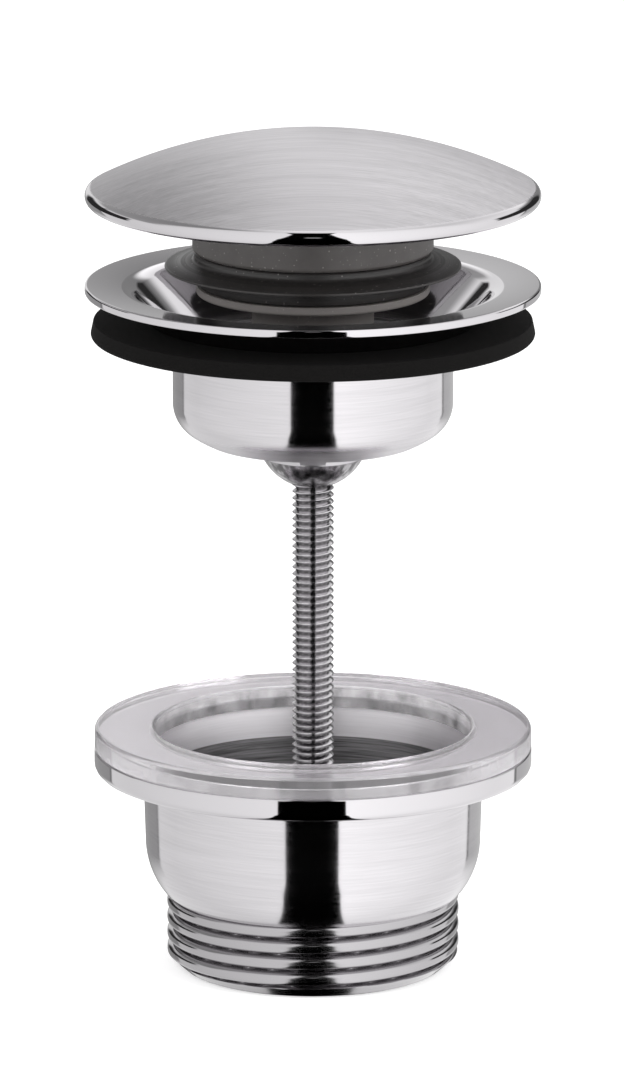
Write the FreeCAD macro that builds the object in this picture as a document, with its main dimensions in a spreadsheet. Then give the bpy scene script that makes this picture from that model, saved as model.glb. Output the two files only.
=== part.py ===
"""Push-open basin drain plug with a G 1 1/4 tail, drawn apart on its centre screw as it is before fitting.

The frame is in millimetres with +Z up. The origin is the centre of the tail's lower end, on which it stands.
"""
import FreeCAD, Part
import math
import os

import Sketcher
from FreeCAD import Placement, Rotation, Vector

# Driving dimensions: alias, value in millimetres or degrees, meaning
SIZES = [
    ("tail_height", 31.8, "tail body, lower end to the top of its flange"),
    ("outlet_radius", 20.8, "G 1 1/4 thread, over the crests"),
    ("outlet_length", 10.6, "threaded length of the tail"),
    ("outlet_chamfer_height", 1.9, "lead-in chamfer of the thread, along the axis"),
    ("outlet_chamfer_depth", 2.2, "lead-in chamfer of the thread, across"),
    ("outlet_bore", 17.4, "radius of the bore through the thread"),
    ("shell_radius", 23.85, "tail shell at its shoulder"),
    ("shell_draft", 0.4, "how much wider the shell is under its flange"),
    ("shell_wall", 2.2, "wall of the tail shell"),
    ("shoulder_round", 9.0, "round shoulder between shell and thread"),
    ("tail_flange_radius", 31.1, "tail flange"),
    ("tail_flange_thickness", 3.3, "tail flange"),
    ("tail_flange_round", 1.2, "lower edge of the tail flange"),
    ("mouth_chamfer", 1.1, "chamfer inside the tail's mouth"),
    ("arm_level", 4.6, "underside of the spider arms above the lower end"),
    ("arm_height", 6.0, "spider arms of the tail"),
    ("arm_width", 3.0, "spider arms of the tail"),
    ("hub_radius", 6.4, "threaded hub of the tail"),
    ("hub_level", 3.4, "underside of the hub above the lower end"),
    ("hub_height", 11.1, "threaded hub of the tail"),
    ("thread_gap", 0.1, "radial clearance round the centre screw's thread"),
    ("washer_inner", 22.4, "clear washer, hole radius"),
    ("washer_inset", 0.05, "how far the clear washer's edge lies inside the tail flange's"),
    ("washer_thickness", 3.15, "clear washer"),
    ("washer_bevel", 0.4, "upper edges of the clear washer"),
    ("basin_gap", 56.5, "open height between clear washer and gasket as shown"),
    ("gasket_outer", 31.45, "flange gasket, outer radius"),
    ("gasket_inner", 22.17, "flange gasket, hole radius"),
    ("gasket_thickness", 2.4, "flange gasket"),
    ("gasket_seat", 1.0, "width of the gasket's bevel that bears on the flange"),
    ("gasket_bevel", 0.4, "lower outer edge of the gasket"),
    ("gasket_taper", 0.5, "how much narrower the gasket is at its top"),
    ("seat_gap", 0.03, "gap left between pieces that bear on each other"),
    ("rim_radius", 32.15, "flange of the waste cup"),
    ("flange_land", 4.95, "outer flange, from its edge to the middle of the roll"),
    ("flange_slope", 4.0, "slope of the outer flange, so that it drains"),
    ("rim_roll", 3.0, "convex roll between the outer flange and the seat cone"),
    ("rim_bevel", 0.3, "outer edges of the flange"),
    ("flange_wall", 1.2, "metal thickness of the flange"),
    ("cone_slope", 48.0, "slope of the cone under the lip seal"),
    ("cup_depth", 24.1, "waste cup, rim to underside of floor"),
    ("cup_radius", 19.8, "waste cup, outside"),
    ("cup_wall", 1.4, "wall and floor of the waste cup"),
    ("knuckle_round", 5.0, "small outer radius where the cup wall turns in"),
    ("floor_round", 17.7, "large outer radius of the cup floor"),
    ("floor_flat", 7.8, "radius of the flat middle of the cup floor"),
    ("cup_hub_drop", 0.75, "how far the cup's hub stands below the floor"),
    ("cup_hub_height", 2.3, "hub of the waste cup"),
    ("cup_hub_radius", 7.2, "hub of the waste cup"),
    ("cup_hub_gap", 0.35, "radial clearance of the centre screw in the cup's hub"),
    ("drain_inner", 8.3, "drain openings, inner radius"),
    ("drain_outer", 15.2, "drain openings, outer radius"),
    ("drain_bar", 3.6, "bars between the drain openings"),
    ("screw_radius", 2.95, "M6 centre screw, over the crests"),
    ("screw_length", 72.9, "centre screw"),
    ("screw_chamfer", 0.8, "lead-in of the centre screw"),
    ("dome_nut_radius", 7.2, "dome nut, upper edge"),
    ("dome_nut_height", 3.8, "dome nut"),
    ("dome_nut_sphere", 8.0, "spherical underside of the dome nut"),
    ("dome_nut_rim", 0.3, "narrow level edge at the dome nut's top"),
    ("thrust_thickness", 0.8, "thrust washer"),
    ("thrust_radius", 6.7, "thrust washer"),
    ("hex_flats", 15.0, "across the flats of the latch base"),
    ("hex_height", 2.0, "hexagon of the latch base"),
    ("spigot_height", 2.2, "latch base inside the sleeve"),
    ("sleeve_length", 20.3, "latch sleeve"),
    ("sleeve_bore", 7.1, "latch sleeve, inner radius"),
    ("sleeve_wall", 1.5, "latch sleeve"),
    ("sleeve_lid", 1.8, "closed top of the latch sleeve"),
    ("slide_gap", 0.2, "sliding clearance inside the latch"),
    ("guide_depth", 1.1, "how far the guide ribs stand into the sleeve"),
    ("guide_slope", 1.5, "rise of each slanted tooth on the rib ends"),
    ("guide_margin", 0.3, "how far a full press takes the rotor's keys below the ribs"),
    ("key_width", 2.4, "keys of the plunger and the rotor"),
    ("key_height", 2.4, "keys of the rotor"),
    ("crown_height", 4.5, "toothed crown of the plunger"),
    ("stem_radius", 4.0, "plunger stem"),
    ("tooth_width", 2.9, "notches of the crown"),
    ("tooth_depth", 1.0, "notches of the crown and teeth of the rotor"),
    ("tooth_overlap", 0.1, "how far the rotor's teeth stand in the notches"),
    ("tooth_phase", 11.25, "angle between the rotor's teeth and the notches"),
    ("rotor_height", 2.7, "rotor without its teeth"),
    ("rotor_ceiling", 0.6, "rotor above the spring"),
    ("pilot_radius", 2.6, "rotor pilot in the plunger"),
    ("pilot_height", 1.8, "rotor pilot in the plunger"),
    ("spring_radius", 4.0, "latch spring, middle of the wire"),
    ("spring_wire", 0.5, "latch spring, wire thickness"),
    ("spring_turns", 3.5, "latch spring"),
    ("plug_travel", 7.8, "full press of the plug"),
    ("plate_gap", 1.6, "room left over the sleeve at full press"),
    ("plate_thickness", 1.7, "top plate of the seal carrier"),
    ("carrier_gap", 0.5, "radial room between carrier and latch sleeve"),
    ("drum_radius", 17.0, "upper drum of the seal carrier"),
    ("drum_height", 6.85, "upper drum of the seal carrier"),
    ("drum_bevel", 0.5, "lower edge of the drum"),
    ("groove_radius", 13.6, "seal groove of the carrier"),
    ("groove_height", 4.95, "seal groove of the carrier"),
    ("foot_radius", 16.45, "lower lip of the seal carrier"),
    ("foot_height", 1.2, "lower lip of the seal carrier"),
    ("foot_bevel", 0.3, "lower edge of the carrier's lower lip"),
    ("carrier_wall", 1.6, "moulded walls of the seal carrier"),
    ("carrier_pocket_depth", 5.6, "moulded pockets in the carrier's top"),
    ("carrier_pocket_angle", 24.0, "half the angle of a moulded pocket"),
    ("seal_radius", 16.2, "lip seal, body below the lip"),
    ("seal_collar", 16.7, "lip seal, body above the lip"),
    ("lip_radius", 20.9, "lip seal, edge of the lip"),
    ("lip_level", 3.2, "root of the lip above the foot of the groove"),
    ("lip_droop", 0.5, "how far the lip's edge hangs below its root"),
    ("lip_root", 1.1, "thickness of the lip at its root"),
    ("lip_edge", 0.4, "thickness of the lip at its edge"),
    ("stud_radius", 2.45, "M5 stud between plunger and cap"),
    ("stud_gap", 0.05, "clearance of the stud in its holes"),
    ("stud_in_plunger", 6.0, "stud length inside the plunger"),
    ("stud_in_cap", 5.5, "stud length inside the cap"),
    ("cap_radius", 32.1, "domed cap"),
    ("cap_rise", 9.5, "top of the cap above the carrier"),
    ("cap_dome", 70.5, "spherical radius of the cap's top"),
    ("cap_wall", 2.4, "metal thickness of the cap"),
    ("cap_round", 1.2, "rounded edge of the cap"),
    ("cap_land", 1.6, "level ring under the edge of the cap"),
    ("cap_boss", 6.5, "boss under the middle of the cap"),
]
ARMS = 4          # spider arms, drain bars, guide ribs and keys stand at right angles
TEETH = 8         # notches of the plunger, teeth of the rotor and teeth of the rib ends
POCKETS = 6       # moulded pockets of the carrier
HEX_SIDES = 6
WIRE_SIDES = 6    # the spring's wire is drawn six-sided to keep its faces few

doc = FreeCAD.newDocument("basin_drain_plug")
sheet = doc.addObject("Spreadsheet::Sheet", "sizes")
for row, (alias, value, meaning) in enumerate(SIZES, start=1):
    sheet.set(f"A{row}", alias)
    sheet.set(f"B{row}", str(value))
    sheet.setAlias(f"B{row}", alias)
    sheet.set(f"C{row}", meaning)
doc.recompute()


class Size:
    """A length that carries both its number and the sheet expression that gives it."""

    def __init__(self, value, text):
        self.value, self.text = value, text

    def _join(self, other, sign, result):
        other = as_size(other)
        return Size(result(self.value, other.value), f"({self.text} {sign} {other.text})")

    def __add__(self, other):
        return self._join(other, "+", lambda a, b: a + b)

    def __sub__(self, other):
        return self._join(other, "-", lambda a, b: a - b)

    def __mul__(self, other):
        return self._join(other, "*", lambda a, b: a * b)

    def __truediv__(self, other):
        return self._join(other, "/", lambda a, b: a / b)

    def __neg__(self):
        return Size(-self.value, f"(0 - {self.text})")


def as_size(number):
    return number if isinstance(number, Size) else Size(float(number), str(float(number)))


def root(square):
    return Size(math.sqrt(square.value), f"sqrt({square.text})")


def leg(slant, other):
    """The other leg of a right triangle."""
    return root(slant * slant - other * other)


def sine(angle):
    return Size(math.sin(math.radians(angle.value)), f"sin({angle.text} * 1 deg)")


def cosine(angle):
    return Size(math.cos(math.radians(angle.value)), f"cos({angle.text} * 1 deg)")


def tangent(angle):
    return sine(angle) / cosine(angle)


def arc_sine(share):
    return Size(math.degrees(math.asin(share.value)), f"(asin({share.text}) / 1 deg)")


S = {alias: Size(float(sheet.get(alias)), f"sizes.{alias}") for alias, value, meaning in SIZES}
ZERO = as_size(0)


class Arc:
    """One corner-to-corner arc of a profile: it ends at (x, y) and turns about (cx, cy)."""

    def __init__(self, x, y, cx, cy, radius):
        self.x, self.y, self.cx, self.cy, self.radius = x, y, cx, cy, radius


def origin_feature(body, role):
    return next(feature for feature in body.Origin.OriginFeatures if feature.Role == role)


def make_body(label):
    body = doc.addObject("PartDesign::Body", label)
    body.Label = label
    return body


def make_sketch(body, name, role, level=None):
    """A sketch on one of the body's own origin planes, raised along the plane's normal by level."""
    sketch = body.newObject("Sketcher::SketchObject", name)
    sketch.AttachmentSupport = [(origin_feature(body, role), "")]
    sketch.MapMode = "FlatFace"
    if level is not None:
        sketch.AttachmentOffset = Placement(Vector(0, 0, level.value), Rotation())
        sketch.setExpression("AttachmentOffset.Base.z", level.text)
    return sketch


def bind(sketch, kind, items, size):
    index = sketch.addConstraint(Sketcher.Constraint(kind, *items, size.value))
    sketch.setExpression(f"Constraints[{index}]", size.text)


def pin_point(sketch, edge, end, x, y):
    """Fixes one end of an edge at (x, y), each a Size."""
    if x.value == 0 and x.text == ZERO.text:
        sketch.addConstraint(Sketcher.Constraint("PointOnObject", edge, end, -2))
    else:
        bind(sketch, "DistanceX", (-1, 1, edge, end), x)
    if y.value == 0 and y.text == ZERO.text:
        sketch.addConstraint(Sketcher.Constraint("PointOnObject", edge, end, -1))
    else:
        bind(sketch, "DistanceY", (-1, 1, edge, end), y)


def draw(sketch, path):
    """A closed outline through the path's corners. Each is an (x, y) pair, reached by a line, or an Arc."""
    corners = [(p.x, p.y) if isinstance(p, Arc) else (as_size(p[0]), as_size(p[1])) for p in path]
    ends = []
    for number, step in enumerate(path):
        (ax, ay), (bx, by) = corners[number - 1], corners[number]
        a, b = Vector(ax.value, ay.value, 0), Vector(bx.value, by.value, 0)
        if isinstance(step, Arc):
            c = Vector(step.cx.value, step.cy.value, 0)
            start, stop = (math.atan2(p.y - c.y, p.x - c.x) for p in (a, b))
            left_turn = (a - c).cross(b - c).z > 0
            first, last = (start, stop) if left_turn else (stop, start)
            if last < first:
                last += 2 * math.pi
            circle = Part.Circle(c, Vector(0, 0, 1), (a - c).Length)
            edge = sketch.addGeometry(Part.ArcOfCircle(circle, first, last), False)
            bind(sketch, "Radius", (edge,), step.radius)
            ends.append((edge, 1, 2) if left_turn else (edge, 2, 1))
        else:
            edge = sketch.addGeometry(Part.LineSegment(a, b), False)
            ends.append((edge, 1, 2))
    for number, (edge, start, stop) in enumerate(ends):
        before = ends[number - 1]
        sketch.addConstraint(Sketcher.Constraint("Coincident", before[0], before[2], edge, start))
        pin_point(sketch, edge, stop, *corners[number])


def turn(body, name, path, cut=False):
    """Revolves a profile of (radius, height) corners about Z, as metal or as a groove."""
    sketch = make_sketch(body, name + "_profile", "XZ_Plane")
    draw(sketch, path)
    feature = body.newObject("PartDesign::Groove" if cut else "PartDesign::Revolution", name)
    feature.Profile = sketch
    feature.ReferenceAxis = (sketch, ["V_Axis"])
    feature.Angle = 360
    return feature


def turned(label, path):
    body = make_body(label)
    turn(body, label + "_turned", path)
    return body


def rise(body, name, role, level, path, length, cut=False, backward=False):
    """Pads or pockets an outline drawn on an origin plane raised by level."""
    sketch = make_sketch(body, name + "_outline", role, level)
    if isinstance(path, Size):
        edge = sketch.addGeometry(Part.Circle(Vector(0, 0, 0), Vector(0, 0, 1), path.value), False)
        sketch.addConstraint(Sketcher.Constraint("Coincident", edge, 3, -1, 1))
        bind(sketch, "Radius", (edge,), path)
    else:
        draw(sketch, path)
    feature = body.newObject("PartDesign::Pocket" if cut else "PartDesign::Pad", name)
    feature.Profile = sketch
    feature.Length = length.value
    feature.setExpression("Length", length.text)
    feature.Reversed = backward
    return feature


def ring_of(body, feature, count):
    """Repeats a feature evenly about Z."""
    pattern = body.newObject("PartDesign::PolarPattern", feature.Name + "_ring")
    pattern.Originals = [feature]
    pattern.Axis = (origin_feature(body, "Z_Axis"), [""])
    pattern.Angle = 360
    pattern.Occurrences = count
    body.Tip = pattern
    return pattern


def quarter_window(inner, outer, bar):
    """Outline of an opening between two bars at right angles and two circles."""
    half = bar / 2
    near, far = leg(inner, half), leg(outer, half)
    return [Arc(near, half, ZERO, ZERO, inner), (far, half), Arc(half, far, ZERO, ZERO, outer), (half, near)]


# Levels of the stack, from the lower end upwards
tail_top = S["tail_height"]
washer_top = tail_top + S["washer_thickness"]
gasket_foot = washer_top + S["basin_gap"]
gasket_top = gasket_foot + S["gasket_thickness"]
# the cone's underside leaves the gasket's bevel and rolls over into the outer flange
roll_x = S["rim_radius"] - S["flange_land"]
under_roll = S["rim_roll"] - S["flange_wall"]
cone_x = roll_x - under_roll * sine(S["cone_slope"])
seat_x = S["gasket_inner"] + S["gasket_seat"]
cone_level = gasket_top + (cone_x - seat_x) * tangent(S["cone_slope"])
roll_level = cone_level - under_roll * cosine(S["cone_slope"])
land_x = roll_x - S["rim_roll"] * sine(S["flange_slope"])
land_level = roll_level + S["rim_roll"] * cosine(S["flange_slope"])
rim_x = S["rim_radius"] - S["rim_bevel"]
rim_top = land_level + (rim_x - land_x) * tangent(S["flange_slope"])
floor_level = rim_top - S["cup_depth"]
cup_hub_foot = floor_level - S["cup_hub_drop"]
cup_hub_top = cup_hub_foot + S["cup_hub_height"]
dome_nut_top = cup_hub_foot - S["seat_gap"]
thrust_foot = cup_hub_top + S["seat_gap"]
base_foot = thrust_foot + S["thrust_thickness"]
sleeve_foot = base_foot + S["hex_height"]
spigot_top = sleeve_foot + S["spigot_height"]
sleeve_top = sleeve_foot + S["sleeve_length"]
lid_level = sleeve_top - S["sleeve_lid"]
crown_top = lid_level - S["slide_gap"]
crown_foot = crown_top - S["crown_height"]
rotor_top = crown_foot + S["tooth_overlap"] - S["tooth_depth"]
rotor_foot = rotor_top - S["rotor_height"]
key_top = rotor_top - S["slide_gap"]
guide_foot = key_top - S["plug_travel"] + S["guide_margin"]
spring_top = rotor_top - S["rotor_ceiling"]
plate_level = sleeve_top + S["plug_travel"] + S["plate_gap"]
carrier_top = plate_level + S["plate_thickness"]
drum_foot = carrier_top - S["drum_height"]
groove_foot = drum_foot - S["groove_height"]
carrier_foot = groove_foot - S["foot_height"]
cap_top = carrier_top + S["cap_rise"]

sleeve_outer = S["sleeve_bore"] + S["sleeve_wall"]
guide_inner = S["sleeve_bore"] - S["guide_depth"]
core_radius = guide_inner - S["slide_gap"]
key_outer = S["sleeve_bore"] - S["slide_gap"]
tooth_angle = as_size(360 / TEETH)
screw_hole = S["screw_radius"] + S["thread_gap"]


def tail_body():
    """Cast tail: outlet, drafted shell with a round shoulder, flange, and a spider with the screw hub."""
    body = make_body("tail_body")
    centre_x = S["shell_radius"] - S["shoulder_round"]
    centre_z = S["outlet_length"] + leg(S["shoulder_round"], S["outlet_radius"] - centre_x)
    inner_round = S["shoulder_round"] - S["shell_wall"]
    inner_z = centre_z - leg(inner_round, S["outlet_bore"] - centre_x)
    flange_foot = tail_top - S["tail_flange_thickness"]
    shell_top = S["shell_radius"] + S["shell_draft"]
    edge, rim = S["tail_flange_round"], S["tail_flange_radius"]
    turn(body, "tail_shell", [
        (S["outlet_bore"], ZERO),
        (S["outlet_radius"] - S["outlet_chamfer_depth"], ZERO),
        (S["outlet_radius"], S["outlet_chamfer_height"]),
        (S["outlet_radius"], S["outlet_length"]),
        Arc(S["shell_radius"], centre_z, centre_x, centre_z, S["shoulder_round"]),
        (shell_top, flange_foot),
        (rim - edge, flange_foot),
        Arc(rim, flange_foot + edge, rim - edge, flange_foot + edge, edge),
        (rim, tail_top),
        (shell_top - S["shell_wall"] + S["mouth_chamfer"], tail_top),
        (shell_top - S["shell_wall"], flange_foot),
        (S["shell_radius"] - S["shell_wall"], centre_z),
        Arc(S["outlet_bore"], inner_z, centre_x, centre_z, inner_round),
    ])
    half = S["arm_width"] / 2
    reach = (S["outlet_bore"] + S["outlet_radius"]) / 2
    arm = rise(body, "spider_arm", "XY_Plane", S["arm_level"],
               [(ZERO, -half), (reach, -half), (reach, half), (ZERO, half)], S["arm_height"])
    ring_of(body, arm, ARMS)
    hub_level, hub_height = S["hub_level"], S["hub_height"]
    rise(body, "spider_hub", "XY_Plane", hub_level, S["hub_radius"], hub_height)
    rise(body, "screw_hole", "XY_Plane", hub_level + hub_height, screw_hole, hub_height, cut=True)
    return body


def clear_washer():
    edge = S["washer_bevel"]
    outer, inner = S["tail_flange_radius"] - S["washer_inset"], S["washer_inner"]
    return turned("clear_washer", [
        (inner, tail_top), (outer, tail_top), (outer, washer_top - edge), (outer - edge, washer_top),
        (inner + edge, washer_top), (inner, washer_top - edge),
    ])


def flange_gasket():
    """Flat rubber ring whose inner upper edge is bevelled to the slope of the cone above it."""
    edge = S["gasket_bevel"]
    outer, inner = S["gasket_outer"], S["gasket_inner"]
    bevel_drop = S["gasket_seat"] * tangent(S["cone_slope"])
    top = gasket_top - S["seat_gap"]
    return turned("flange_gasket", [
        (inner, gasket_foot),
        (outer - edge, gasket_foot),
        (outer, gasket_foot + edge),
        (outer - S["gasket_taper"], top),
        (seat_x, top),
        (inner, top - bevel_drop),
    ])


def waste_cup():
    """Flange, seat cone, straight cup and rounded floor with four drain openings round a plain hub."""
    body = make_body("waste_cup")
    radius, wall = S["cup_radius"], S["cup_wall"]
    small, large = S["knuckle_round"], S["floor_round"]
    slope, gentle, edge = S["cone_slope"], S["flange_slope"], S["rim_bevel"]
    # the knuckle and the floor arc touch on the line through both centres
    knuckle_x = radius - small
    across = knuckle_x - S["floor_flat"]
    knuckle_z = floor_level + large - leg(large - small, across)
    floor_z = floor_level + large
    share_x, share_z = across / (large - small), (floor_z - knuckle_z) / (large - small)
    top_x = roll_x - S["rim_roll"] * sine(slope)
    top_z = roll_level + S["rim_roll"] * cosine(slope)
    under_x = roll_x - under_roll * sine(gentle)
    under_z = roll_level + under_roll * cosine(gentle)
    rim_foot = under_z + (rim_x - under_x) * tangent(gentle)
    bore = radius - wall
    turn(body, "cup_shell", [
        (S["floor_flat"] - wall, floor_level),
        (S["floor_flat"], floor_level),
        Arc(knuckle_x + small * share_x, knuckle_z - small * share_z, S["floor_flat"], floor_z, large),
        Arc(radius, knuckle_z, knuckle_x, knuckle_z, small),
        (radius, cone_level - (cone_x - radius) * tangent(slope)),
        (cone_x, cone_level),
        Arc(under_x, under_z, roll_x, roll_level, under_roll),
        (rim_x, rim_foot),
        (S["rim_radius"], rim_foot + edge),
        (S["rim_radius"], rim_top - edge),
        (rim_x, rim_top),
        (land_x, land_level),
        Arc(top_x, top_z, roll_x, roll_level, S["rim_roll"]),
        (bore, top_z - (top_x - bore) * tangent(slope)),
        (bore, knuckle_z),
        Arc(knuckle_x + (small - wall) * share_x, knuckle_z - (small - wall) * share_z,
            knuckle_x, knuckle_z, small - wall),
        Arc(S["floor_flat"], floor_level + wall, S["floor_flat"], floor_z, large - wall),
        (S["floor_flat"] - wall, floor_level + wall),
    ])
    rise(body, "cup_hub", "XY_Plane", cup_hub_foot, S["cup_hub_radius"], S["cup_hub_height"])
    rise(body, "cup_hub_hole", "XY_Plane", cup_hub_top, S["screw_radius"] + S["cup_hub_gap"],
         S["cup_hub_height"], cut=True)
    window = rise(body, "drain_window", "XY_Plane", knuckle_z,
                  quarter_window(S["drain_inner"], S["drain_outer"], S["drain_bar"]),
                  knuckle_z - floor_level,
                  cut=True)
    ring_of(body, window, ARMS)
    return body


def centre_screw():
    """M6 screw drawn over its crests, from inside the latch base down into the tail's hub."""
    radius, edge = S["screw_radius"], S["screw_chamfer"]
    top = spigot_top - S["slide_gap"]
    foot = top - S["screw_length"]
    return turned("centre_screw", [
        (ZERO, foot), (radius - edge, foot), (radius, foot + edge), (radius, top - edge),
        (radius - edge, top),
        (ZERO, top),
    ])


def dome_nut():
    """Round nut with a spherical underside that carries the cup's hub."""
    sphere, radius = S["dome_nut_sphere"], S["dome_nut_radius"]
    centre_z = dome_nut_top + leg(sphere, radius)
    foot = dome_nut_top - S["dome_nut_height"]
    return turned("dome_nut", [
        (screw_hole, foot),
        (leg(sphere, centre_z - foot), foot),
        Arc(radius, dome_nut_top, ZERO, centre_z, sphere),
        (radius - S["dome_nut_rim"], dome_nut_top),
        (screw_hole, dome_nut_top),
    ])


def thrust_washer():
    hole = S["screw_radius"] + S["cup_hub_gap"]
    return turned("thrust_washer", [
        (hole, thrust_foot), (S["thrust_radius"], thrust_foot), (S["thrust_radius"], base_foot),
        (hole, base_foot),
    ])


def latch_base():
    """Hexagon that tightens the screw, with a spigot that closes the sleeve from below."""
    body = make_body("latch_base")
    spigot = S["sleeve_bore"] - S["seat_gap"]
    rise(body, "base_spigot", "XY_Plane", base_foot, spigot, spigot_top - base_foot)
    corner = S["hex_flats"] / root(as_size(3))
    turns = [as_size(number * 360 / HEX_SIDES) for number in range(HEX_SIDES)]
    rise(body, "base_hexagon", "XY_Plane", base_foot,
         [(corner * cosine(angle), corner * sine(angle)) for angle in turns], S["hex_height"])
    rise(body, "base_screw_hole", "XY_Plane", spigot_top, screw_hole, spigot_top - base_foot, cut=True)
    return body


def radial_block(body, name, path, inner, outer, count, cut=False, phase=None):
    """A block drawn looking along the radius, run from inner to outer and repeated from the phase on."""
    feature = rise(body, name, "XZ_Plane", inner, path, outer - inner, cut=cut, backward=cut)
    if phase is not None:
        sketch = feature.Profile[0]
        turned_by = Rotation(Vector(0, 1, 0), phase.value)
        sketch.AttachmentOffset = Placement(Vector(0, 0, inner.value), turned_by)
        sketch.setExpression("AttachmentOffset.Rotation.Angle", f"{phase.text} * 1 deg")
        sketch.setExpression("AttachmentOffset.Base.x", (inner * sine(phase)).text)
        sketch.setExpression("AttachmentOffset.Base.z", (inner * cosine(phase)).text)
    return ring_of(body, feature, count)


def latch_sleeve():
    """Sleeve with a lid and four inner ribs, each ending in two slanted teeth: one latches, one frees."""
    body = make_body("latch_sleeve")
    overlap = S["sleeve_wall"] / 2
    middle = (guide_inner + S["sleeve_bore"]) / 2
    turn(body, "guide_stock", [
        (guide_inner, guide_foot), (S["sleeve_bore"] + overlap, guide_foot),
        (S["sleeve_bore"] + overlap, lid_level),
        (guide_inner, lid_level),
    ])
    half = (S["sleeve_bore"] + overlap) * tangent(tooth_angle / 2)
    below = guide_foot - S["guide_slope"]
    tooth = [(-half, below), (half, below), (half, guide_foot + S["guide_slope"]), (-half, guide_foot)]
    # a latched key stands with its leading side against the step between two teeth
    key_angle = arc_sine(S["key_width"] / 2 / middle)
    radial_block(body, "guide_tooth", tooth, guide_inner - S["slide_gap"], S["sleeve_bore"] + overlap, TEETH,
                 cut=True, phase=tooth_angle / 2 + key_angle)
    half = S["key_width"] / 2 + S["slide_gap"]
    groove = [(-half, below), (half, below), (half, lid_level), (-half, lid_level)]
    radial_block(body, "key_groove", groove, guide_inner - S["slide_gap"], S["sleeve_bore"] + overlap, ARMS,
                 cut=True)
    turn(body, "sleeve_wall", [
        (S["sleeve_bore"], sleeve_foot), (sleeve_outer, sleeve_foot), (sleeve_outer, sleeve_top),
        (S["stem_radius"] + S["slide_gap"], sleeve_top), (S["stem_radius"] + S["slide_gap"], lid_level),
        (S["sleeve_bore"], lid_level),
    ])
    return body


def plunger():
    """Stem that carries the plug, with a keyed crown whose notches turn the rotor."""
    body = make_body("plunger")
    pilot = S["pilot_radius"] + S["slide_gap"]
    hole = S["stud_radius"] + S["stud_gap"]
    recess = crown_foot + S["pilot_height"] + S["slide_gap"]
    hole_foot = plate_level - S["stud_in_plunger"] - S["slide_gap"]
    turn(body, "plunger_core", [
        (ZERO, recess), (pilot, recess), (pilot, crown_foot), (core_radius, crown_foot),
        (core_radius, crown_top), (S["stem_radius"], crown_top), (S["stem_radius"], plate_level),
        (hole, plate_level), (hole, hole_foot),
        (ZERO, hole_foot),
    ])
    half = S["tooth_width"] / 2
    notch = [(-half, crown_foot), (half, crown_foot), (ZERO, crown_foot + S["tooth_depth"])]
    radial_block(body, "crown_notch", notch, pilot - S["slide_gap"], key_outer, TEETH, cut=True,
                 phase=S["tooth_phase"])
    half = S["key_width"] / 2
    key = [(-half, crown_foot + S["tooth_depth"]), (half, crown_foot + S["tooth_depth"]), (half, crown_top),
           (-half, crown_top)]
    radial_block(body, "crown_key", key, core_radius - S["slide_gap"], key_outer, ARMS)
    return body


def rotor():
    """Toothed ring that the spring lifts; its keys stand in the sleeve's grooves or catch under the ribs."""
    body = make_body("rotor")
    cavity = S["spring_radius"] + S["spring_wire"] / 2 + S["slide_gap"]
    pilot_top = rotor_top + S["pilot_height"]
    turn(body, "rotor_core", [
        (cavity, rotor_foot), (core_radius, rotor_foot), (core_radius, rotor_top),
        (S["pilot_radius"], rotor_top),
        (S["pilot_radius"], pilot_top), (ZERO, pilot_top), (ZERO, spring_top), (cavity, spring_top),
    ])
    half = S["tooth_width"] / 2
    tooth = [(-half, rotor_top), (half, rotor_top), (ZERO, rotor_top + S["tooth_depth"])]
    radial_block(body, "rotor_tooth", tooth,
                 S["pilot_radius"] - S["slide_gap"], core_radius - S["slide_gap"] * 2,
                 TEETH)
    half = S["key_width"] / 2
    slant = S["guide_slope"] * S["key_width"] / (core_radius * tangent(tooth_angle / 2) * 2)
    key = [(-half, key_top - S["key_height"]), (half, key_top - S["key_height"]), (half, key_top),
           (-half, key_top - slant)]
    radial_block(body, "rotor_key", key, core_radius - S["slide_gap"], key_outer, ARMS)
    return body


def latch_spring():
    """Compression spring between the latch base and the rotor's ceiling."""
    wire = S["spring_wire"]
    foot = spigot_top + wire / 2 + S["seat_gap"]
    top = spring_top - wire / 2 - S["seat_gap"]
    helix = doc.addObject("Part::Helix", "spring_line")
    helix.setExpression("Radius", S["spring_radius"].text)
    helix.setExpression("Height", (top - foot).text)
    helix.setExpression("Pitch", ((top - foot) / S["spring_turns"]).text)
    helix.setExpression("Placement.Base.z", foot.text)
    section = doc.addObject("Part::RegularPolygon", "spring_wire_section")
    section.Polygon = WIRE_SIDES
    section.setExpression("Circumradius", (wire / 2).text)
    upright = Rotation(Vector(1, 0, 0), 90)
    section.Placement = Placement(Vector(S["spring_radius"].value, 0, foot.value), upright)
    section.setExpression("Placement.Base.x", S["spring_radius"].text)
    section.setExpression("Placement.Base.z", foot.text)
    sweep = doc.addObject("Part::Sweep", "latch_spring")
    sweep.Label = "latch_spring"
    sweep.Sections = [section]
    sweep.Spine = (helix, ["Edge1"])
    sweep.Solid = True
    sweep.Frenet = True
    return sweep


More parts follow.
